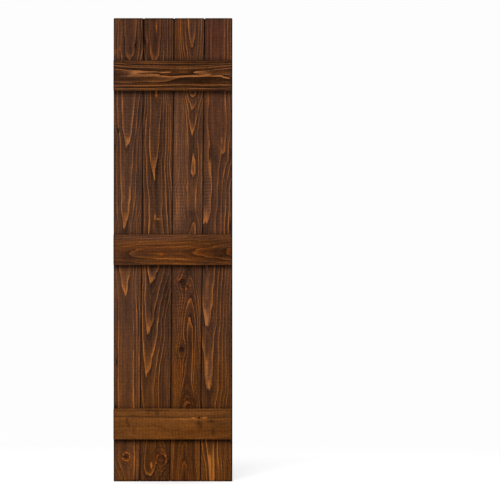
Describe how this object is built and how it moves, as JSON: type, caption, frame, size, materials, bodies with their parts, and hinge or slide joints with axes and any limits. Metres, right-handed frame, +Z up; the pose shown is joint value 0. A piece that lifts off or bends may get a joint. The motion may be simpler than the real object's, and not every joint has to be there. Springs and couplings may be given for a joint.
{
  "type": "board and batten shutter",
  "caption": "Exterior shutter of upright softwood boards set side by side and tied by cross battens on the face, stained dark brown, to fix flat on a wall beside a window.",
  "frame": {"origin": "centre of the back of the boards, on the plane that lies against the wall", "axes": "+Z up along the boards, +X to the right as seen from the front, +Y back into the wall, so the face looks towards -Y"},
  "size_m": [0.3556, 0.038, 1.388],
  "materials": {
    "stained_board": "planed softwood with a matt dark brown stain",
    "dark_batten": "planed softwood with a matt dark brown stain",
    "golden_batten": "planed softwood with a matt stain that took more golden here"
  },
  "bodies": {
    "root": {"left_outer_board": "stained_board", "left_inner_board": "stained_board", "right_inner_board": "stained_board", "right_outer_board": "stained_board", "top_batten": "dark_batten", "middle_batten": "dark_batten", "bottom_batten": "golden_batten"}
  },
  "joints": []
}
